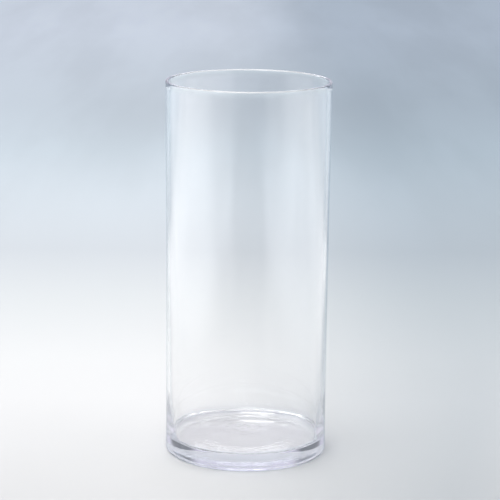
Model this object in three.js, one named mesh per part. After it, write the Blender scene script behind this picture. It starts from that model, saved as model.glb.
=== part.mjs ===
// A clear glass cylinder vase, as florists use for tall stems: one hollow glass body with a thick floor.
// Units are millimetres. +Z is up, and the origin is the middle of the circle that the vase stands on.
import * as THREE from 'three';

// ---- driving dimensions ----

const VASE_HEIGHT = 347;

// The outside: narrowest at the waist, low down, opening gently to the rim and flaring a little at the heel.
const WAIST_RADIUS = 74.5;
const WAIST_HEIGHT = 60;
const RIM_OPENING = 1.1;
const HEEL_FLARE = 0.5;

// The wall, and how much thicker it grows over the last stretch above the floor.
const WALL = 3;
const FOOT_THICKENING = 2.5;
const FOOT_HEIGHT = 45;

// The floor's top: its height over the table at the middle, and how much higher it lies at the edge.
const FLOOR = 13.5;
const FLOOR_DISH = 1;
const CORNER_RADIUS = 3.5;

// The outside corner at the foot, and the flat ring that the vase stands on around a slightly raised middle.
const HEEL_RADIUS = 3;
const REST_RING_WIDTH = 12;
const UNDERSIDE_LIFT = 0.8;

// Round stretches are cut into short straight ones.
const STEPS_AROUND = 96;
const STEPS_ON_HEEL = 4;
const STEPS_ON_WALL = 8;
const STEPS_ON_FOOT = 5;
const STEPS_ON_RIM = 8;
const STEPS_ON_CORNER = 5;
const STEPS_ON_DISH = 4;

const QUARTER_TURN = Math.PI / 2;

// ---- the wall's outside and inside radius at any height ----

function outsideRadius(height) {
  const above = Math.max(0, height - WAIST_HEIGHT) / (VASE_HEIGHT - WAIST_HEIGHT);
  const below = Math.max(0, WAIST_HEIGHT - height) / WAIST_HEIGHT;
  return WAIST_RADIUS + RIM_OPENING * above ** 2 + HEEL_FLARE * below ** 2;
}

const CORNER_TOP = FLOOR + FLOOR_DISH + CORNER_RADIUS;

function insideRadius(height) {
  const below = Math.max(0, CORNER_TOP + FOOT_HEIGHT - height) / FOOT_HEIGHT;
  return outsideRadius(height) - WALL - FOOT_THICKENING * below ** 2;
}

// ---- the profile, as points of (radius, height) ----

// Evenly spaced heights between two levels, without the two ends.
function heightsBetween(start, end, steps) {
  return Array.from({ length: steps - 1 }, (_, i) => start + ((end - start) * (i + 1)) / steps);
}

// Points along a round arc from one angle to another, both ends included.
function arc(centre, radius, from, to, steps) {
  const points = [];
  for (let i = 0; i <= steps; i += 1) {
    const angle = from + ((to - from) * i) / steps;
    points.push(new THREE.Vector2(
      centre.x + radius * Math.cos(angle),
      centre.y + radius * Math.sin(angle),
    ));
  }
  return points;
}

// Points from the axis out to a radius along a shallow bowl. The last is left out.
function shallowBowl(radius, heightOnAxis, heightAtRadius) {
  const points = [];
  for (let i = 0; i < STEPS_ON_DISH; i += 1) {
    const share = i / STEPS_ON_DISH;
    points.push(new THREE.Vector2(
      radius * share,
      heightOnAxis + (heightAtRadius - heightOnAxis) * share ** 2,
    ));
  }
  return points;
}

// The underside, from the axis to the flat ring: the raised middle and the ring's inner edge.
function underside() {
  const ringInner = outsideRadius(HEEL_RADIUS) - HEEL_RADIUS - REST_RING_WIDTH;
  return [...shallowBowl(ringInner, UNDERSIDE_LIFT, 0), new THREE.Vector2(ringInner, 0)];
}

// The rounded heel between the ring and the outer wall.
function heel() {
  const centre = new THREE.Vector2(outsideRadius(HEEL_RADIUS) - HEEL_RADIUS, HEEL_RADIUS);
  return arc(centre, HEEL_RADIUS, -QUARTER_TURN, 0, STEPS_ON_HEEL);
}

function outerWall() {
  const heights = heightsBetween(HEEL_RADIUS, VASE_HEIGHT - WALL / 2, STEPS_ON_WALL);
  return heights.map((height) => new THREE.Vector2(outsideRadius(height), height));
}

// The fire-polished rim: a half circle over the wall's whole thickness, from outside to inside.
function rim() {
  const halfWall = WALL / 2;
  const level = VASE_HEIGHT - halfWall;
  const centre = new THREE.Vector2(outsideRadius(level) - halfWall, level);
  return arc(centre, halfWall, 0, 2 * QUARTER_TURN, STEPS_ON_RIM);
}

// The bore from the rim down to the inside corner, with closer points where the wall thickens.
function innerWall() {
  const footTop = CORNER_TOP + FOOT_HEIGHT;
  const heights = [
    ...heightsBetween(VASE_HEIGHT - WALL / 2, footTop, STEPS_ON_WALL - 1),
    footTop,
    ...heightsBetween(footTop, CORNER_TOP, STEPS_ON_FOOT),
  ];
  return heights.map((height) => new THREE.Vector2(insideRadius(height), height));
}

function floorEdgeRadius() {
  return insideRadius(CORNER_TOP) - CORNER_RADIUS;
}

function insideCorner() {
  const centre = new THREE.Vector2(floorEdgeRadius(), CORNER_TOP);
  return arc(centre, CORNER_RADIUS, 0, -QUARTER_TURN, STEPS_ON_CORNER);
}

// The top of the floor, from its edge in to the axis.
function floorTop() {
  return shallowBowl(floorEdgeRadius(), FLOOR, FLOOR + FLOOR_DISH).reverse();
}

// ---- the glass body ----

function glassVase() {
  const profile = [
    ...underside(),
    ...heel(),
    ...outerWall(),
    ...rim(),
    ...innerWall(),
    ...insideCorner(),
    ...floorTop(),
  ];
  const geometry = new THREE.LatheGeometry(profile, STEPS_AROUND);
  geometry.rotateX(QUARTER_TURN);

  const glass = new THREE.MeshStandardMaterial({ color: 0xe4ebf0, roughness: 0.02, metalness: 0 });
  const mesh = new THREE.Mesh(geometry, glass);
  mesh.name = 'glass_vase';
  return mesh;
}

const vase = new THREE.Group();
vase.add(glassVase());

export default vase;
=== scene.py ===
import math

import bmesh
import bpy
from mathutils import Matrix, Vector, noise


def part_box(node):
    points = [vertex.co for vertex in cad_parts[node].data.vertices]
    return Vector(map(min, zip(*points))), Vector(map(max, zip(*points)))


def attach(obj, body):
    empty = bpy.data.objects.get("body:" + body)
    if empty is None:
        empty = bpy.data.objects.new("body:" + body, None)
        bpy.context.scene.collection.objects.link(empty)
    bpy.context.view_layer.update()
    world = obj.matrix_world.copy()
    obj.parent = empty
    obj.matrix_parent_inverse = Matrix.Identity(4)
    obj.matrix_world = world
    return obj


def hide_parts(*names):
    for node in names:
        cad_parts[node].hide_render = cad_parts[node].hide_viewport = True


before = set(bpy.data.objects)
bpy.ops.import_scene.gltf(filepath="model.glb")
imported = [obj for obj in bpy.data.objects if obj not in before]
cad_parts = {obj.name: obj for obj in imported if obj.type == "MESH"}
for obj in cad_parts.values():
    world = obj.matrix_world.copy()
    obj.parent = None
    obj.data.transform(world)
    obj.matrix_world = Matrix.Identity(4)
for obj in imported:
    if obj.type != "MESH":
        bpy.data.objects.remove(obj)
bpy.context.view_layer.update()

MM = 0.001
QUARTER_TURN = math.pi / 2
FULL_TURN = 2 * math.pi

# ---- sizes of the vase: the outside from the CAD box, the rest as the CAD source has it ----

vase_low, vase_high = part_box("glass_vase")
HEIGHT = vase_high[2]
MOUTH_RADIUS = (vase_high[0] - vase_low[0]) / 2

# The outside is narrowest at the waist, opens gently to the rim and flares a little at the heel.
RIM_OPENING = 1.1 * MM
HEEL_FLARE = 0.5 * MM
WAIST_RADIUS = MOUTH_RADIUS - RIM_OPENING
WAIST_HEIGHT = 60 * MM

# The wall, and how much thicker it grows over the last stretch above the floor.
WALL = 3 * MM
FOOT_THICKENING = 2.5 * MM
FOOT_HEIGHT = 45 * MM

# The floor's top: its height over the table at the middle, and how much higher it lies at the edge.
FLOOR = 13.5 * MM
FLOOR_DISH = 1 * MM
# The rounded corner where the floor meets the wall.
CORNER_RADIUS = 3.5 * MM
CORNER_TOP = FLOOR + FLOOR_DISH + CORNER_RADIUS
# The outside corner at the foot, and the flat ring that the vase rests on round a slightly raised middle.
HEEL_RADIUS = 3 * MM
REST_RING_WIDTH = 12 * MM
UNDERSIDE_LIFT = 0.8 * MM

# ---- how finely the glass is cut ----

STEPS_AROUND = 288
STEPS_ON_UNDERSIDE = 64
STEPS_ON_REST_RING = 16
STEPS_ON_HEEL = 10
STEPS_ON_OUTER_WALL = 60
STEPS_ON_RIM = 12
STEPS_ON_INNER_WALL = 90
STEPS_ON_CORNER = 14
STEPS_ON_FLOOR = 60
# Above 1, the rings of the wall lie closer together near the foot.
WALL_STEP_POWER = 1.3


def smooth_step(value, start, end):
    """0 before start, 1 after end and a smooth climb between them. start may be the larger one."""
    share = min(1.0, max(0.0, (value - start) / (end - start)))
    return share * share * (3 - 2 * share)


# ---- the profile of the glass, as points of (radius, height) ----

def outside_radius(height):
    above = max(0.0, height - WAIST_HEIGHT) / (HEIGHT - WAIST_HEIGHT)
    below = max(0.0, WAIST_HEIGHT - height) / WAIST_HEIGHT
    return WAIST_RADIUS + RIM_OPENING * above ** 2 + HEEL_FLARE * below ** 2


def inside_radius(height):
    below = max(0.0, CORNER_TOP + FOOT_HEIGHT - height) / FOOT_HEIGHT
    return outside_radius(height) - WALL - FOOT_THICKENING * below ** 2


def arc(centre, radius, start, end, steps):
    angles = [start + (end - start) * i / steps for i in range(steps + 1)]
    return [(centre[0] + radius * math.cos(a), centre[1] + radius * math.sin(a)) for a in angles]


def shallow_bowl(radius, height_on_axis, height_at_radius, steps):
    """From the axis out to the radius, the last point left out."""
    shares = [i / steps for i in range(steps)]
    return [(radius * s, height_on_axis + (height_at_radius - height_on_axis) * s * s) for s in shares]


RING_OUTER = outside_radius(HEEL_RADIUS) - HEEL_RADIUS
RING_INNER = RING_OUTER - REST_RING_WIDTH
FLOOR_RADIUS = inside_radius(CORNER_TOP) - CORNER_RADIUS
RIM_LEVEL = HEIGHT - WALL / 2


def underside():
    """The raised middle, then the flat ring that the vase rests on."""
    raised = shallow_bowl(RING_INNER, UNDERSIDE_LIFT, 0.0, STEPS_ON_UNDERSIDE)
    shares = [i / STEPS_ON_REST_RING for i in range(STEPS_ON_REST_RING)]
    return raised + [(RING_INNER + REST_RING_WIDTH * share, 0.0) for share in shares]


def heel():
    return arc((RING_OUTER, HEEL_RADIUS), HEEL_RADIUS, -QUARTER_TURN, 0, STEPS_ON_HEEL)


def outer_wall():
    """From just above the heel to just below the rim."""
    shares = [(i / STEPS_ON_OUTER_WALL) ** WALL_STEP_POWER for i in range(1, STEPS_ON_OUTER_WALL)]
    heights = [HEEL_RADIUS + (RIM_LEVEL - HEEL_RADIUS) * share for share in shares]
    return [(outside_radius(z), z) for z in heights]


def rim():
    return arc((outside_radius(RIM_LEVEL) - WALL / 2, RIM_LEVEL), WALL / 2, 0, math.pi, STEPS_ON_RIM)


def inner_wall():
    """From just below the rim to just above the inside corner."""
    shares = [(1 - i / STEPS_ON_INNER_WALL) ** WALL_STEP_POWER for i in range(1, STEPS_ON_INNER_WALL)]
    heights = [CORNER_TOP + (RIM_LEVEL - CORNER_TOP) * share for share in shares]
    return [(inside_radius(z), z) for z in heights]


def inside_corner():
    return arc((FLOOR_RADIUS, CORNER_TOP), CORNER_RADIUS, 0, -QUARTER_TURN, STEPS_ON_CORNER)


def floor_top():
    return shallow_bowl(FLOOR_RADIUS, FLOOR, FLOOR + FLOOR_DISH, STEPS_ON_FLOOR)[::-1]


# ---- what the mould and the hot glass leave on the surfaces ----

# Each pattern of bumps has a seed of its own, so that no two are alike.
WRINKLE_SEED = 3.0
SWELL_SEED = 8.0
RIPPLE_SEED = 5.0
SPOT_SEED = 12.0
CORD_SEED = 4

# Wrinkles on the underside: depth, size, the ring they lie in and how much is left of them at the back.
CHILL_DEPTH = 0.40 * MM
CHILL_SIZE = 2.2 * MM
CHILL_RING = (30 * MM, 40 * MM, 51 * MM, 58 * MM)
CHILL_AT_BACK = 0.05
# Where the wrinkles set in toward the front: none yet at the first place, full at the second.
CHILL_FRONT = (10 * MM, -25 * MM)
# Broader swells lie under the wrinkles: their size beside a wrinkle's, and their share of the depth.
SWELL_SIZE = 3 * CHILL_SIZE
SWELL_SHARE = 0.25

# Rings on the floor: depth, spacing, reach and middle.
RIPPLE_DEPTH = 0.055 * MM
RIPPLE_SPACING = 9.5 * MM
RIPPLE_REACH = (6 * MM, 34 * MM)
RIPPLE_MIDDLE = (-2 * MM, 8 * MM)
# The rings wander by this share of their spacing, over this distance.
RIPPLE_WANDER = 0.25
RIPPLE_WANDER_SIZE = 22 * MM
# The floor is smooth over this width along its edge.
SMOOTH_EDGE = 8 * MM

# Uneven spots beside the rings.
SPOT_DEPTH = 0.04 * MM
SPOT_SIZE = 5 * MM
SPOT_REACH = (8 * MM, 24 * MM)
SPOT_MIDDLE = (22 * MM, 14 * MM)

# Long faint streaks in the wall: depth, and how far round the vase they lean, in radians for each metre up.
CORD_DEPTH = 0.10 * MM
CORD_LEAN = 0.9
# How quickly the streaks change round the vase and along its height.
CORDS_AROUND = 6
CORDS_ALONG = 5
# The streaks fade out over these distances below the rim and above the inside corner.
CORD_FADE_AT_RIM = 20 * MM
CORD_FADE_AT_CORNER = 4 * MM


def waves(x, y, size, seed):
    """Soft bumps about `size` metres across, between -1 and 1."""
    return noise.noise(Vector((x / size, y / size, seed)))


def chill_marks(x, y):
    """Wrinkles in a ring where the glass first met the cold mould, deepest on the front side."""
    start, full, waning, end = CHILL_RING
    radius = math.hypot(x, y)
    marked = smooth_step(radius, start, full) * smooth_step(radius, end, waning)
    marked *= CHILL_AT_BACK + (1 - CHILL_AT_BACK) * smooth_step(y, *CHILL_FRONT)
    wrinkles = 0.5 + 0.5 * waves(x, y, CHILL_SIZE, WRINKLE_SEED)
    swells = 0.5 + 0.5 * waves(x, y, SWELL_SIZE, SWELL_SEED)
    return CHILL_DEPTH * marked * ((1 - SWELL_SHARE) * wrinkles + SWELL_SHARE * swells)


def floor_ripples(x, y):
    """Rings left round the last drop of glass, a little off centre, and uneven spots beside them."""
    distance = math.hypot(x - RIPPLE_MIDDLE[0], y - RIPPLE_MIDDLE[1])
    distance += RIPPLE_WANDER * RIPPLE_SPACING * waves(x, y, RIPPLE_WANDER_SIZE, RIPPLE_SEED)
    rings = math.cos(FULL_TURN * distance / RIPPLE_SPACING) * smooth_step(distance, *RIPPLE_REACH[::-1])
    from_spots = math.hypot(x - SPOT_MIDDLE[0], y - SPOT_MIDDLE[1])
    spots = waves(x, y, SPOT_SIZE, SPOT_SEED) * smooth_step(from_spots, *SPOT_REACH[::-1])
    inside_edge = smooth_step(math.hypot(x, y), FLOOR_RADIUS, FLOOR_RADIUS - SMOOTH_EDGE)
    return inside_edge * (RIPPLE_DEPTH * rings + SPOT_DEPTH * spots)


def wall_cords(angle, height):
    """Streaks drawn out nearly upright as the gather was pulled and turned. They fade at both ends."""
    turned = angle + height * CORD_LEAN
    ends = smooth_step(height, HEIGHT, HEIGHT - CORD_FADE_AT_RIM)
    ends *= smooth_step(height, CORNER_TOP, CORNER_TOP + CORD_FADE_AT_CORNER)
    x, y = math.cos(turned) * CORDS_AROUND, math.sin(turned) * CORDS_AROUND
    return CORD_DEPTH * ends * noise.noise(Vector((x, y, height * CORDS_ALONG + CORD_SEED)))


def with_marks(stretch, radius, height, angle):
    """The point on this stretch of the profile at this angle, moved by what marks the surface there."""
    if stretch == "inner wall":
        radius -= wall_cords(angle, height)
    x, y = radius * math.cos(angle), radius * math.sin(angle)
    if stretch == "underside":
        height += chill_marks(x, y)
    if stretch == "floor":
        height += floor_ripples(x, y)
    return x, y, height


def ring_of_points(shape, stretch, radius, height):
    """One ring of the surface, or the one point on the axis."""
    if radius == 0:
        return [shape.verts.new(with_marks(stretch, 0.0, height, 0.0))]
    angles = [FULL_TURN * k / STEPS_AROUND for k in range(STEPS_AROUND)]
    return [shape.verts.new(with_marks(stretch, radius, height, angle)) for angle in angles]


def join_rings(shape, first, second):
    for k in range(STEPS_AROUND):
        after = (k + 1) % STEPS_AROUND
        if len(first) == 1:
            shape.faces.new((first[0], second[after], second[k]))
        elif len(second) == 1:
            shape.faces.new((first[k], first[after], second[0]))
        else:
            shape.faces.new((first[k], first[after], second[after], second[k]))


def revolved(name, stretches):
    """A closed surface of revolution from the stretches of a profile that starts and ends on the axis."""
    shape = bmesh.new()
    rings = [ring_of_points(shape, stretch, *point) for stretch, points in stretches for point in points]
    for first, second in zip(rings, rings[1:]):
        join_rings(shape, first, second)
    bmesh.ops.recalc_face_normals(shape, faces=shape.faces)
    mesh = bpy.data.meshes.new(name)
    shape.to_mesh(mesh)
    shape.free()
    for face in mesh.polygons:
        face.use_smooth = True
    piece = bpy.data.objects.new(name, mesh)
    bpy.context.scene.collection.objects.link(piece)
    return piece


# ---- small helpers for shader nodes ----

WHITE = (1, 1, 1, 1)


def new_material(name):
    material = bpy.data.materials.new(name)
    material.use_nodes = True
    return material, material.node_tree, material.node_tree.nodes["Principled BSDF"]


def node(tree, kind, links=(), **settings):
    """A new node with plain settings, and (input, value or output) pairs."""
    new = tree.nodes.new(kind)
    for key, value in settings.items():
        setattr(new, key, value)
    for socket, value in links:
        if isinstance(value, bpy.types.NodeSocket):
            tree.links.new(value, new.inputs[socket])
        else:
            new.inputs[socket].default_value = value
    return new


def object_place(tree):
    return node(tree, "ShaderNodeTexCoord").outputs["Object"]


def coordinates(tree, vector):
    return node(tree, "ShaderNodeSeparateXYZ", [(0, vector)]).outputs


def climb(tree, value, start, end, low=0.0, high=1.0):
    """A smooth climb of a value from low at start to high at end."""
    links = [("Value", value), ("From Min", start), ("From Max", end), ("To Min", low), ("To Max", high)]
    return node(tree, "ShaderNodeMapRange", links, interpolation_type="SMOOTHSTEP").outputs[0]


def math_node(tree, operation, *values):
    return node(tree, "ShaderNodeMath", list(enumerate(values)), operation=operation).outputs[0]


def times(tree, first, second):
    return math_node(tree, "MULTIPLY", first, second)


def stretched(tree, vector, factors):
    return node(tree, "ShaderNodeVectorMath", [(0, vector), (1, factors)], operation="MULTIPLY").outputs[0]


def mixed(tree, share, first, second, blend="MIX"):
    links = [("Factor", share), (6, first), (7, second)]
    return node(tree, "ShaderNodeMix", links, data_type="RGBA", blend_type=blend).outputs[2]


def tinted(tree, first, second):
    return mixed(tree, 1.0, first, second, "MULTIPLY")


def grey(tree, level):
    return node(tree, "ShaderNodeCombineColor", [(0, level), (1, level), (2, level)]).outputs[0]


# ---- the clear glass ----

GLASS_IOR = 1.52
# Light lost in each metre of glass, for red, green and blue.
LOST_PER_METRE = (0.40, 0.32, 0.24)
# Painted shade: the glass is darkened where it is looked at almost edge on, but not on the rim,
# standing in for the dark surroundings it reflects there. At this blend,
# Facing is 1 minus the cosine of the angle between the view and the surface's normal.
FACING_BLEND = 0.5
EDGE_FACING = (0.72, 0.86)
PAINTED_EDGE_SHADE = (0.56, 0.63, 0.70, 1)
EDGE_STOPS = (HEIGHT - 3 * MM, HEIGHT - 9 * MM)
# The thick foot is darker and faintly lavender through its outer wall: partly the glass's own colour over
# its long path, partly painted shade for the darker ground seen through it.
FOOT_SHADE_AND_TINT = (0.69, 0.705, 0.80, 1)
FOOT_COLOUR_TOP = 24 * MM


# Painted shade along the edges of the glass, where it is seen almost edge on.
def painted_edge_shade(tree, height):
    facing = node(tree, "ShaderNodeLayerWeight", [("Blend", FACING_BLEND)]).outputs["Facing"]
    share = times(tree, climb(tree, height, *EDGE_STOPS), climb(tree, facing, *EDGE_FACING))
    return mixed(tree, share, WHITE, PAINTED_EDGE_SHADE)


# The foot's darker lavender: partly the glass's own colour, partly painted shade.
def foot_shade_and_tint(tree, where, height):
    flat = stretched(tree, where, (1, 1, 0))
    radius = node(tree, "ShaderNodeVectorMath", [(0, flat)], operation="LENGTH").outputs["Value"]
    low_down = climb(tree, height, FOOT_COLOUR_TOP, FLOOR)
    near_outside = climb(tree, radius, FLOOR_RADIUS, RING_OUTER)
    return mixed(tree, times(tree, low_down, near_outside), WHITE, FOOT_SHADE_AND_TINT)


def clear_glass():
    """Colourless soda-lime glass. Painted shade along its edges and the darker lavender of its foot, partly
    painted shade, are laid only on light that comes in from outside.
    """
    material, tree, shader = new_material("clear_glass")
    where = object_place(tree)
    height = coordinates(tree, where)[2]
    # Painted shade at the edges, and the foot's darker lavender, partly painted shade.
    tint = tinted(tree, painted_edge_shade(tree, height), foot_shade_and_tint(tree, where, height))
    backfacing = node(tree, "ShaderNodeNewGeometry").outputs["Backfacing"]
    tree.links.new(mixed(tree, backfacing, tint, WHITE), shader.inputs["Base Color"])
    shader.inputs["Roughness"].default_value = 0.0
    shader.inputs["IOR"].default_value = GLASS_IOR
    shader.inputs["Transmission Weight"].default_value = 1.0
    absorption = node(tree, "ShaderNodeVolumeAbsorption")
    absorption.inputs["Color"].default_value = (*(1 - lost for lost in LOST_PER_METRE), 1)
    absorption.inputs["Density"].default_value = 1.0
    tree.links.new(absorption.outputs[0], tree.nodes["Material Output"].inputs["Volume"])
    return material


def glass_vase():
    vase = revolved("vase_glass", [
        ("underside", underside()),
        ("heel", heel()),
        ("outer wall", outer_wall()),
        ("rim", rim()),
        ("inner wall", inner_wall()),
        ("corner", inside_corner()),
        ("floor", floor_top()),
    ])
    vase.data.materials.append(clear_glass())
    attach(vase, "root")
    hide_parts("glass_vase")


# ---- the studio floor ----

FLOOR_REACH = 9.0
FLOOR_SIDES = 128
FLOOR_GAP = 0.2 * MM
PAPER_ROUGHNESS = 0.9

# The paper's colour at distances behind the middle of the vase; less than zero is in front of it. It darkens
# toward the camera in front of the vase, which is painted shade.
PAPER_COLOURS = (
    (-0.30, (0.50, 0.50, 0.50)),
    (-0.01, (0.62, 0.62, 0.62)),
    (0.15, (0.66, 0.66, 0.66)),
    (0.30, (0.66, 0.665, 0.665)),
    (0.56, (0.60, 0.62, 0.63)),
    (0.83, (0.53, 0.56, 0.59)),
    (1.60, (0.61, 0.68, 0.735)),
    (3.40, (0.83, 0.90, 1.00)),
)
PAPER_NEAREST = -0.5
PAPER_FARTHEST = 4.0
# Painted light: the paper is whiter beside the vase, standing in for pools of light there: where it sets in
# to either side, and where it ends behind the vase.
SIDE_PAINTED_LIGHT = (0.92, 0.92, 0.92, 1)
SIDE_STARTS = (0.30, 0.60)
SIDE_ENDS = (0.9, 0.5)
# The clouds: how much they are drawn out in depth, their size, how strong they are and where they set in.
CLOUD_STRETCH = (1, 0.16, 1)
CLOUD_SCALE = 5.0
CLOUD_DETAIL = 4.0
CLOUD_NOISE = (0.35, 0.65)
CLOUD_LEVELS = (0.96, 1.04)
CLOUD_DISTANCES = (0.5, 1.6)
# The shade on the right: where it sets in, where it ends and how fast that end moves out with distance.
SHADE_COLOUR = (0.70, 0.74, 0.77, 1)
SHADE_STARTS = (-0.10, 0.26)
SHADE_ENDS = (0.20, 0.36)
SHADE_SPREAD = 0.2
# The colour of the painted shade on the camera's side of the floor.
FRONT_SHADE_COLOUR = (0.40, 0.41, 0.42, 1)
# The painted shade in front, a dark fan, as angles from straight toward the camera, and the distances over
# which it sets in.
FRONT_LEFT = (math.radians(-66), math.radians(-40))
FRONT_RIGHT = (math.radians(30), math.radians(17))
FRONT_DISTANCES = (0.25, 0.75)


def paper_by_distance(tree, away):
    links = [("Value", away), ("From Min", PAPER_NEAREST), ("From Max", PAPER_FARTHEST)]
    ramp = node(tree, "ShaderNodeValToRGB", [("Fac", node(tree, "ShaderNodeMapRange", links).outputs[0])])
    stops = ramp.color_ramp.elements
    while len(stops) < len(PAPER_COLOURS):
        stops.new(1.0)
    for stop, (distance, colour) in zip(stops, PAPER_COLOURS):
        stop.position = (distance - PAPER_NEAREST) / (PAPER_FARTHEST - PAPER_NEAREST)
        stop.color = (*colour, 1)
    return ramp.outputs[0]


def clouds(tree, where, away):
    """Soft clouds in the far paper, drawn out in depth so that they look round from the camera's side."""
    place = stretched(tree, where, CLOUD_STRETCH)
    links = [("Vector", place), ("Scale", CLOUD_SCALE), ("Detail", CLOUD_DETAIL)]
    cloud = node(tree, "ShaderNodeTexNoise", links).outputs[0]
    level = climb(tree, cloud, *CLOUD_NOISE, *CLOUD_LEVELS)
    return mixed(tree, climb(tree, away, *CLOUD_DISTANCES), WHITE, grey(tree, level))


def shade_on_the_right(tree, across, away):
    """A soft shade in a fan that widens with distance."""
    shade_in = climb(tree, across, *SHADE_STARTS)
    fan = math_node(tree, "MULTIPLY_ADD", away, -SHADE_SPREAD, across)
    shade_out = climb(tree, fan, *SHADE_ENDS, 1.0, 0.0)
    return mixed(tree, times(tree, shade_in, shade_out), WHITE, SHADE_COLOUR)


def painted_shade_in_front(tree, across, away):
    """Painted shade: the camera's side of the floor is dark from an arm's length on."""
    toward = times(tree, away, -1.0)
    azimuth = math_node(tree, "ARCTAN2", across, toward)
    fan = times(tree, climb(tree, azimuth, *FRONT_LEFT), climb(tree, azimuth, *FRONT_RIGHT))
    return mixed(tree, times(tree, fan, climb(tree, toward, *FRONT_DISTANCES)), WHITE, FRONT_SHADE_COLOUR)


def paper_colour(tree):
    """Pale round the vase, blue far behind it, with painted light out to the sides and painted shade on the
    right and in front.
    """
    where = object_place(tree)
    across, away, _ = coordinates(tree, where)
    sideways = math_node(tree, "ABSOLUTE", across)
    # Painted light: the paper is made whiter beside the vase.
    beside = times(tree, climb(tree, sideways, *SIDE_STARTS), climb(tree, away, *SIDE_ENDS))
    paper = mixed(tree, beside, paper_by_distance(tree, away), SIDE_PAINTED_LIGHT)
    paper = tinted(tree, paper, clouds(tree, where, away))
    paper = tinted(tree, paper, shade_on_the_right(tree, across, away))
    return tinted(tree, paper, painted_shade_in_front(tree, across, away))


def studio_floor():
    shape = bmesh.new()
    bmesh.ops.create_circle(shape, cap_ends=True, radius=FLOOR_REACH, segments=FLOOR_SIDES)
    mesh = bpy.data.meshes.new("studio_floor")
    shape.to_mesh(mesh)
    shape.free()
    floor = bpy.data.objects.new("studio_floor", mesh)
    bpy.context.scene.collection.objects.link(floor)
    floor.location.z = -FLOOR_GAP
    material, tree, shader = new_material("floor_paper")
    shader.inputs["Roughness"].default_value = PAPER_ROUGHNESS
    shader.inputs["Specular IOR Level"].default_value = 0.0
    tree.links.new(paper_colour(tree), shader.inputs["Base Color"])
    mesh.materials.append(material)


# ---- the room and the lights ----

ROOM_FRONT = (0.38, 0.39, 0.40, 1)
ROOM_BACK = (0.83, 0.80, 0.93, 1)
ROOM_GAP = (0.20, 0.215, 0.24, 1)
ROOM_TOP = (0.72, 0.735, 0.75, 1)
# The dark gaps beside the bright back of the room, as angles from straight back.
GAP_STARTS = (math.radians(24), math.radians(36))
GAP_ENDS = (math.radians(68), math.radians(56))
# How far back a direction points where the front turns into the back, and how far up where the top sets in.
FRONT_TO_BACK = (-0.5, 0.4)
WALL_TO_TOP = (0.3, 0.8)


def surroundings():
    """A bright room behind the vase with a dark gap on each side of it, dim in front and light overhead."""
    world = bpy.data.worlds.new("studio")
    bpy.context.scene.world = world
    world.use_nodes = True
    tree = world.node_tree
    right, back, up = coordinates(tree, node(tree, "ShaderNodeTexCoord").outputs["Generated"])
    walls = mixed(tree, climb(tree, back, *FRONT_TO_BACK), ROOM_FRONT, ROOM_BACK)
    off_middle = math_node(tree, "ABSOLUTE", math_node(tree, "ARCTAN2", right, back))
    gaps = times(tree, climb(tree, off_middle, *GAP_STARTS), climb(tree, off_middle, *GAP_ENDS))
    walls = mixed(tree, gaps, walls, ROOM_GAP)
    sky = mixed(tree, climb(tree, up, *WALL_TO_TOP), walls, ROOM_TOP)
    tree.links.new(sky, tree.nodes["Background"].inputs["Color"])


def area_light(name, place, target, width, depth, radiance, seen_in_glass=True):
    """A flat light at a place, facing a target. One that isn't seen in glass still lights the floor."""
    light = bpy.data.lights.new(name, "AREA")
    light.shape = "RECTANGLE"
    light.size = width
    light.size_y = depth
    light.energy = radiance * math.pi * width * depth
    lamp = bpy.data.objects.new(name, light)
    bpy.context.scene.collection.objects.link(lamp)
    lamp.visible_glossy = seen_in_glass
    lamp.visible_transmission = seen_in_glass
    lamp.location = place
    lamp.rotation_mode = "QUATERNION"
    lamp.rotation_quaternion = (Vector(target) - Vector(place)).to_track_quat("-Z", "Y")


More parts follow.
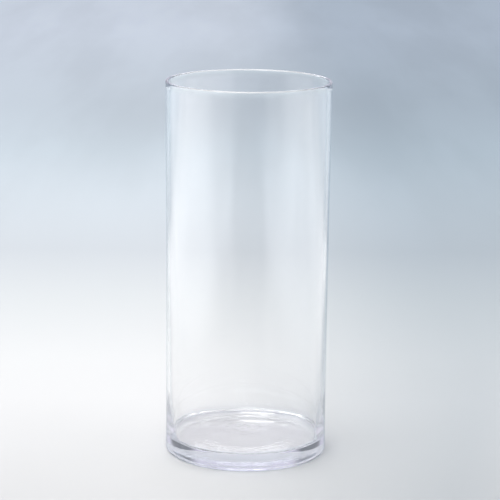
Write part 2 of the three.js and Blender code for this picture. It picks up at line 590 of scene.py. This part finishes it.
def studio_lights():
    """Two wide boxes beside the vase, one high behind it, one high in front and one overhead."""
    area_light("box_left", (-2.3, 0.3, 1.0), (-2.3, 0.3, 0),
               width=2.0, depth=3.4, radiance=1.95, seen_in_glass=False)
    area_light("box_right", (2.2, 0.0, 1.0), (2.2, 0.0, 0),
               width=2.0, depth=3.4, radiance=1.75, seen_in_glass=False)
    area_light("box_behind", (-0.10, 1.25, 1.05), (0, 0, 0), width=1.0, depth=0.5, radiance=3.2)
    area_light("box_front", (-0.40, -0.95, 1.25), (0, 0, 0), width=1.3, depth=0.9, radiance=3.2)
    area_light("box_overhead", (-0.12, 0.12, 1.1), (-0.05, 0.05, 0), width=0.45, depth=0.45, radiance=3.0)


# ---- the camera and how the picture is made ----

CAMERA_PLACE = (0.0, -1.801, 0.599)
CAMERA_LENS = 144.4
CAMERA_PITCH = math.radians(12.81)
CAMERA_YAW = math.radians(0.08)
CAMERA_ROLL = math.radians(0.59)
MOST_BOUNCES = 1024
FLOOR_BOUNCES = 6


def camera():
    """Slightly above the rim, looking down at the middle, and rolled a little as the picture is."""
    forward = Vector((math.sin(CAMERA_YAW) * math.cos(CAMERA_PITCH),
                      math.cos(CAMERA_YAW) * math.cos(CAMERA_PITCH),
                      -math.sin(CAMERA_PITCH)))
    level = Vector((math.cos(CAMERA_YAW), -math.sin(CAMERA_YAW), 0))
    above = level.cross(forward)
    right = level * math.cos(CAMERA_ROLL) + above * math.sin(CAMERA_ROLL)
    up = above * math.cos(CAMERA_ROLL) - level * math.sin(CAMERA_ROLL)
    data = bpy.data.cameras.new("camera")
    data.lens = CAMERA_LENS
    eye = bpy.data.objects.new("camera", data)
    bpy.context.scene.collection.objects.link(eye)
    eye.matrix_world = Matrix.Translation(CAMERA_PLACE) @ Matrix((right, up, -forward)).transposed().to_4x4()
    bpy.context.scene.camera = eye


def picture_settings():
    """Enough bounces for light running down inside the wall, and no blurring of what glass lets through."""
    scene = bpy.context.scene
    scene.cycles.max_bounces = MOST_BOUNCES
    scene.cycles.transmission_bounces = MOST_BOUNCES
    scene.cycles.glossy_bounces = MOST_BOUNCES
    scene.cycles.diffuse_bounces = FLOOR_BOUNCES
    scene.cycles.blur_glossy = 0.0
    scene.view_settings.view_transform = "Standard"


glass_vase()
studio_floor()
surroundings()
studio_lights()
camera()
picture_settings()
